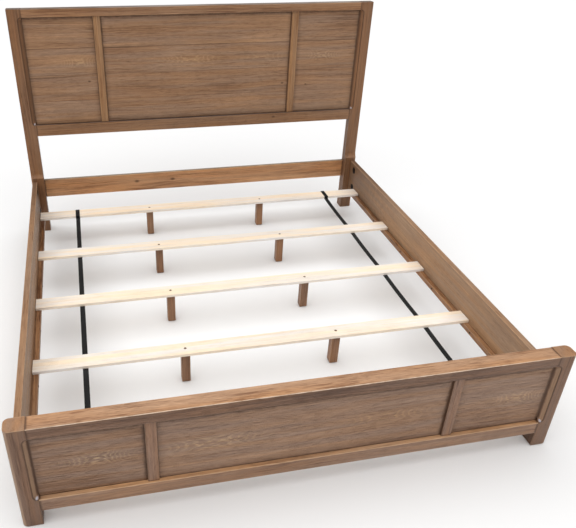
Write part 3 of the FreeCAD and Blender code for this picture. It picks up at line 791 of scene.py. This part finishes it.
for end in ENDS:
    for side in ("left", "right"):
        paint_post(end, side)
        paint_stile(end, side)
    for rail in ENDS[end]["rails"]:
        paint_rail(end, rail)
    for part, span in panel_spans(end).items():
        paint_panel(end, part, span)


# ---------------------------------------------------------------- side rails, cleats, slats, legs
RAIL_JOINT = (NO_WIDTH, 4.0 * MM, NO_WIDTH)
# Painted shade that darkens the side rails towards the headboard.
RAIL_SHADE = (NO_WIDTH, 0.78, NO_WIDTH)
RAIL_WEAR = (3.5 * MM, NO_WIDTH, 3.0 * MM)
CLEAT_GLAZE = (9.0 * MM, NO_WIDTH, NO_WIDTH)
PINE_RING = 11.0 * MM
# Painted shade and painted shadow at the top of each leg, under its slat.
LEG_SHADE = (NO_WIDTH, NO_WIDTH, 50.0 * MM)
LEG_GLAZE = (NO_WIDTH, NO_WIDTH, 8.0 * MM)


def paint_side(side):
    """A side rail, with painted shade that darkens it towards the headboard, and its cleat."""
    name = f"side_rail_{side}"
    paint(name, wood_material(
        name, "Y", shades(SIDE_RAIL), *clip(name, y=RAIL_Y), glaze_low=RAIL_JOINT, glaze_high=RAIL_JOINT,
        shade_low=NO_WIDTHS, shade=RAIL_SHADE, shade_strength=1.95, top=SIDE_TOP, contrast=0.9,
        wear=0.4, wear_low=RAIL_WEAR, wear_high=RAIL_WEAR,
    ))
    name = f"slat_cleat_{side}"
    by_rail = {"glaze_low" if side == "left" else "glaze_high": CLEAT_GLAZE}
    paint(name, wood_material(name, "Y", shades(CLEAT, 1.25), *clip(name), contrast=1.9, **by_rail))


def paint_slat(number):
    """A bare pine slat and its two brown legs."""
    name = f"slat_{number}"
    paint(name, wood_material(
        name, "FLAT", shades(PINE, 0.45), *clip(name), ring=PINE_RING, contrast=0.75, wear=0.0,
        specular=0.25, coat=0.0, bump=0.4 * MM, top=PINE_TOP,
    ))
    for side in ("left", "right"):
        name = f"support_leg_{number}_{side}"
        # Each leg gets painted shadow at its top, under the slat.
        paint(name, wood_material(
            name, "Z", shades(LEG), *clip(name), contrast=1.1, ring=FINE_RING, wear=0.3,
            shade_low=NO_WIDTHS, shade=LEG_SHADE, glaze_high=LEG_GLAZE,
        ))


for side in ("left", "right"):
    paint_side(side)
for number in range(1, 6):
    paint_slat(number)

ZINC = metal_material("zinc_plate", ZINC_PLATE, 0.38)
for name in ("bed_bolts", "bed_bolt_inserts"):
    paint(name, ZINC)


# ---------------------------------------------------------------- modelled pieces
def new_piece(name, mesh, material, body, replaced):
    """A finished piece that rides a body and stands for a CAD node."""
    piece = bpy.data.objects.new(name, mesh)
    bpy.context.scene.collection.objects.link(piece)
    for polygon in mesh.polygons:
        polygon.use_smooth = True
    mesh.materials.append(material)
    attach(piece, body)
    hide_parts(replaced)
    return piece


SEGMENTS = 48


def turned(bm, rings, matrix):
    """Adds a closed turned form. Each ring is (radius, height); a radius may depend on the angle."""
    loops = []
    for radius, height in rings:
        loop = []
        for i in range(SEGMENTS):
            angle = 2 * math.pi * i / SEGMENTS
            r = radius(angle) if callable(radius) else radius
            place = Vector((r * math.cos(angle), r * math.sin(angle), height))
            loop.append(bm.verts.new(matrix @ place))
        loops.append(loop)
    for lower, upper in zip(loops, loops[1:]):
        for i in range(SEGMENTS):
            j = (i + 1) % SEGMENTS
            bm.faces.new((lower[i], lower[j], upper[j], upper[i]))
    for loop, height, flip in ((loops[0], rings[0][1], True), (loops[-1], rings[-1][1], False)):
        centre = bm.verts.new(matrix @ Vector((0, 0, height)))
        for i in range(SEGMENTS):
            j = (i + 1) % SEGMENTS
            pair = (loop[j], loop[i]) if flip else (loop[i], loop[j])
            bm.faces.new((*pair, centre))


def mesh_from(bm, name):
    bmesh.ops.recalc_face_normals(bm, faces=bm.faces)
    mesh = bpy.data.meshes.new(name)
    bm.to_mesh(mesh)
    bm.free()
    return mesh


def hexagon(across_flats):
    """The outline of a hexagon as a radius for each angle."""
    def radius(angle):
        turn = (angle + math.pi / 6) % (math.pi / 3) - math.pi / 6
        return across_flats / 2 / math.cos(turn)
    return radius


def cross(arm, width):
    """The outline of a cross recess as a radius for each angle."""
    def radius(angle):
        turn = abs((angle + math.pi / 4) % (math.pi / 2) - math.pi / 4)
        along_arm = arm / max(math.cos(turn), 1e-6)
        beside_arm = width / 2 / max(math.sin(turn), 1e-6)
        return min(along_arm, beside_arm) if turn < math.pi / 4 - 0.02 else width / 2 * 1.42
    return radius


def facing(direction, place):
    """A matrix that puts local +Z along direction at place."""
    turn = Vector(direction).to_track_quat("Z", "Y").to_matrix().to_4x4()
    return Matrix.Translation(place) @ turn


def solid_boxes(name):
    """Boxes of the separate solids of one CAD node, as (lowest corner, highest corner)."""
    bm = bmesh.new()
    bm.from_mesh(NODES[name].data)
    bmesh.ops.remove_doubles(bm, verts=bm.verts, dist=1e-5)
    left = set(bm.verts)
    boxes = []
    while left:
        stack = [left.pop()]
        found = list(stack)
        while stack:
            for edge in stack.pop().link_edges:
                for vert in edge.verts:
                    if vert in left:
                        left.remove(vert)
                        stack.append(vert)
                        found.append(vert)
        low = Vector(min(v.co[i] for v in found) for i in range(3))
        high = Vector(max(v.co[i] for v in found) for i in range(3))
        boxes.append((low, high))
    bm.free()
    return sorted(boxes, key=lambda box: tuple(round(c, 4) for c in box[0]))


def facing_bed(low, high):
    """A matrix that puts local +Z towards the bed's middle, from the outer face of a fixing's box."""
    centre = (low + high) / 2
    inward = -1.0 if centre.x > 0 else 1.0
    outer = Vector((high.x if centre.x > 0 else low.x, centre.y, centre.z))
    return facing((inward, 0, 0), outer)


def pocket_caps():
    """Moulded domed caps, pressed into the bolt pockets in the inner faces of the side rails."""
    bm = bmesh.new()
    for low, high in solid_boxes("bolt_pocket_covers"):
        radius = (high.z - low.z) / 2
        thick = high.x - low.x
        rim = [
            (radius - 0.6 * MM, 0.0), (radius - 0.1 * MM, 0.5 * MM), (radius, thick - 0.7 * MM),
            (radius - 0.25 * MM, thick - 0.2 * MM), (radius - 0.8 * MM, thick),
        ]
        groove = [(radius - 1.6 * MM, thick), (radius - 2.0 * MM, thick - 0.3 * MM)]
        dome = [
            (radius - 2.5 * MM, thick + 0.2 * MM), (radius * 0.75, thick + 1.1 * MM),
            (radius * 0.5, thick + 1.8 * MM), (radius * 0.25, thick + 2.1 * MM),
            (1.0 * MM, thick + 2.2 * MM),
        ]
        turned(bm, rim + groove + dome, facing_bed(low, high))
    new_piece("pocket_caps", mesh_from(bm, "pocket_caps"), plastic_material("moulded_black"),
              "frame", "bolt_pocket_covers")


THREADED_SHARE = 0.6


def threaded(shank, length, pitch, tip):
    """Rings of a threaded shank of the given radius, from its tip at height 0 to length."""
    root = 0.78 * shank
    plain = 0.85 * shank
    rings = [(0.25 * shank, 0.0), (0.8 * shank, tip)]
    turns = int((length * THREADED_SHARE - tip) / pitch)
    for i in range(turns):
        start = tip + i * pitch
        rings += [(root, start + 0.2 * pitch), (shank, start + 0.5 * pitch), (root, start + 0.8 * pitch)]
    rings += [(plain, tip + (turns + 0.5) * pitch), (plain, length)]
    return rings


SCREW_SHANK = 1.9 * MM
SCREW_PITCH = 1.4 * MM
SCREW_TIP = 3.0 * MM
SCREW_HEAD = 2.0 * MM


def screws():
    """Pan-head screws with a cross recess, driven through the cleats."""
    bm = bmesh.new()
    recess = cross(2.4 * MM, 0.9 * MM)
    for low, high in solid_boxes("cleat_screws"):
        length = high.x - low.x
        head = (high.z - low.z) / 2
        base = length - SCREW_HEAD
        rings = threaded(SCREW_SHANK, base, SCREW_PITCH, SCREW_TIP) + [
            (head - 0.1 * MM, base), (head, base + 0.4 * MM), (head - 0.3 * MM, base + 1.1 * MM),
            (head - 1.0 * MM, base + 1.7 * MM), (3.0 * MM, length), (recess, length),
            (lambda angle: recess(angle) * 0.8, base + 0.4 * MM),
        ]
        turned(bm, rings, facing_bed(low, high))
    new_piece("cleat_screw_set", mesh_from(bm, "cleat_screw_set"),
              metal_material("blackened_steel", BLACK_STEEL, 0.42),
              "frame", "cleat_screws")


LEG_BOLT_SHANK = 2.9 * MM
LEG_BOLT_PITCH = 1.25 * MM
LEG_BOLT_TIP = 2.0 * MM
LEG_BOLT_HEAD = 1.6 * MM
LEG_BOLT_SOCKET = 4.0 * MM


def leg_bolt_set():
    """Flat-head furniture bolts with a hexagon socket, flush in the slats."""
    bm = bmesh.new()
    socket = hexagon(LEG_BOLT_SOCKET)
    for low, high in solid_boxes("leg_bolts"):
        centre = (low + high) / 2
        head = (high.x - low.x) / 2
        length = high.z - low.z
        base = length - LEG_BOLT_HEAD
        rings = threaded(LEG_BOLT_SHANK, base, LEG_BOLT_PITCH, LEG_BOLT_TIP) + [
            (head - 0.15 * MM, base), (head, base + 0.3 * MM), (head, length - 0.5 * MM),
            (head - 0.5 * MM, length), (3.1 * MM, length), (2.7 * MM, length - 0.25 * MM),
            (socket, length - 0.3 * MM), (socket, base - 0.6 * MM),
        ]
        turned(bm, rings, facing((0, 0, 1), Vector((centre.x, centre.y, low.z))))
    new_piece("leg_bolt_set", mesh_from(bm, "leg_bolt_set"),
              metal_material("bronze_plate", BRONZE_PLATE, 0.4),
              "slat_roll", "leg_bolts")


STRAP_THICKNESS = 1.6 * MM
STRAP_BEND = 2.4 * MM
STRAP_SAG = 3.5 * MM
STRAP_GAP = 0.1 * MM
STRAP_RIBS = 10
RIB_HEIGHT = 0.09 * MM
SELVEDGE = 0.45 * MM


def strap_section(width):
    """Points across the webbing, with raised ribs and soft selvedges, as (x, height)."""
    top, bottom = [], []
    count = STRAP_RIBS * 2
    for i in range(count + 1):
        x = (i / count - 0.5) * width
        rib = RIB_HEIGHT if i % 2 else -RIB_HEIGHT
        edge = SELVEDGE if i in (0, count) else 0.0
        height = STRAP_THICKNESS / 2 - RIB_HEIGHT + rib - edge
        top.append((x, height))
        bottom.append((x, -height))
    return top + bottom[::-1]


def run(points, start, end, step, sag=0.0):
    """Adds points from start up to, but not at, end, hanging down by sag in the middle."""
    count = max(2, int((end - start).length / step))
    for i in range(count):
        share = i / count
        point = start.lerp(end, share)
        point.y -= sag * 4 * share * (1 - share)
        points.append(point)


def corner(points, centre, start_angle, end_angle, steps=6):
    """Adds points round a bend of the strap. Angles are in degrees."""
    for i in range(steps + 1):
        angle = math.radians(start_angle + (end_angle - start_angle) * i / steps)
        points.append(centre + STRAP_BEND * Vector((math.cos(angle), math.sin(angle))))


def strap_route(node):
    """The strap's middle line in (y, z): over the head slat, down its front and under the rest."""
    low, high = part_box(node)
    half = STRAP_THICKNESS / 2
    top = high.z - half
    under = low.z + half
    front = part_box("slat_1")[0].y - STRAP_GAP - half
    points = []
    run(points, Vector((high.y, top)), Vector((front + STRAP_BEND, top)), 5 * MM)
    corner(points, Vector((front + STRAP_BEND, top - STRAP_BEND)), 90, 180)
    run(points, Vector((front, top - STRAP_BEND)), Vector((front, under - STRAP_BEND)), 3 * MM)
    # The last point lies past the start of the next bend.
    points.pop()
    corner(points, Vector((front - STRAP_BEND, under + STRAP_BEND)), 0, -90)
    stations = [front - STRAP_BEND]
    for number in range(2, 6):
        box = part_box(f"slat_{number}")
        stations += [box[1].y, max(box[0].y, low.y)]
    for i, (start, end) in enumerate(zip(stations, stations[1:])):
        between_slats = i % 2 == 0
        sag = STRAP_SAG if between_slats else 0.0
        run(points, Vector((start, under)), Vector((end, under)), 8 * MM, sag)
    points.append(Vector((stations[-1], under)))
    return points


def strap_piece(side, material):
    node = f"slat_strap_{side}"
    low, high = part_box(node)
    centre_x = (low.x + high.x) / 2
    route = strap_route(node)
    section = strap_section(high.x - low.x)
    bm = bmesh.new()
    loops = []
    for i, point in enumerate(route):
        ahead = route[min(i + 1, len(route) - 1)] - route[max(i - 1, 0)]
        ahead.normalize()
        normal = Vector((ahead.y, -ahead.x))
        loop = []
        for x, height in section:
            place = point + normal * height
            loop.append(bm.verts.new((centre_x + x, place.x, place.y)))
        loops.append(loop)
    count = len(section)
    for near, far in zip(loops, loops[1:]):
        for i in range(count):
            j = (i + 1) % count
            bm.faces.new((near[i], near[j], far[j], far[i]))
    bm.faces.new(loops[0])
    bm.faces.new(loops[-1])
    name = f"webbing_{side}"
    new_piece(name, mesh_from(bm, name), material, "slat_roll", node)


pocket_caps()
screws()
leg_bolt_set()
WEBBING = webbing_material("strap_weave")
for side in ("left", "right"):
    strap_piece(side, WEBBING)


# ---------------------------------------------------------------- floor, light and camera
FLOOR_REACH = 40.0
FLOOR_DROP = 0.5 * MM
SKY_LIGHT = 0.06
SKY_SEEN = 1.0
KEY_ENERGY = 3.7
KEY_SPREAD = math.radians(105)
KEY_FROM = (-0.12, -0.10, 1.0)
CAMERA_PLACE = (-0.6501, -2.7063, 1.9322)
CAMERA_YAW = math.radians(12.913)
CAMERA_PITCH = math.radians(-32.681)
CAMERA_ROLL = math.radians(1.225)
CAMERA_LENS = 41.776
CAMERA_SENSOR = 36.0
CAMERA_SHIFT = (0.0961, 0.0399)


def add_floor():
    r = FLOOR_REACH
    mesh = bpy.data.meshes.new("floor")
    mesh.from_pydata([(-r, -r, 0), (r, -r, 0), (r, r, 0), (-r, r, 0)], [], [(0, 1, 2, 3)])
    floor = bpy.data.objects.new("floor", mesh)
    bpy.context.scene.collection.objects.link(floor)
    material, _, shader, _ = blank_material("pale_floor")
    shader.inputs["Base Color"].default_value = FLOOR
    shader.inputs["Roughness"].default_value = 0.9
    shader.inputs["Specular IOR Level"].default_value = 0.1
    mesh.materials.append(material)
    floor.location.z = -FLOOR_DROP


def add_light():
    scene = bpy.context.scene
    world = bpy.data.worlds.new("studio")
    world.use_nodes = True
    tree = world.node_tree
    background = tree.nodes["Background"]
    background.inputs["Color"].default_value = (1, 1, 1, 1)
    # The sky is seen as a white backdrop, and lights the bed faintly.
    seen = Wire(tree, tree.nodes.new("ShaderNodeLightPath").outputs["Is Camera Ray"])
    feed(tree, background.inputs["Strength"], seen * (SKY_SEEN - SKY_LIGHT) + SKY_LIGHT)
    scene.world = world
    lamp = bpy.data.lights.new("key", "SUN")
    lamp.energy = KEY_ENERGY
    lamp.angle = KEY_SPREAD
    key = bpy.data.objects.new("key", lamp)
    key.rotation_euler = Vector(KEY_FROM).to_track_quat("Z", "Y").to_euler()
    scene.collection.objects.link(key)
    scene.view_settings.view_transform = "Standard"


def add_camera():
    yaw, pitch, roll = CAMERA_YAW, CAMERA_PITCH, CAMERA_ROLL
    level = Vector((math.sin(yaw), math.cos(yaw), 0))
    forward = level * math.cos(pitch) + Vector((0, 0, math.sin(pitch)))
    right = Vector((math.cos(yaw), -math.sin(yaw), 0))
    up = right.cross(forward)
    x_axis = math.cos(roll) * right + math.sin(roll) * up
    y_axis = -math.sin(roll) * right + math.cos(roll) * up
    turn = Matrix((x_axis, y_axis, -forward)).transposed().to_4x4()
    data = bpy.data.cameras.new("camera")
    data.lens = CAMERA_LENS
    data.sensor_width = CAMERA_SENSOR
    data.shift_x, data.shift_y = CAMERA_SHIFT
    data.clip_end = 200.0
    camera = bpy.data.objects.new("camera", data)
    camera.matrix_world = Matrix.Translation(CAMERA_PLACE) @ turn
    bpy.context.scene.collection.objects.link(camera)
    bpy.context.scene.camera = camera


add_floor()
add_light()
add_camera()
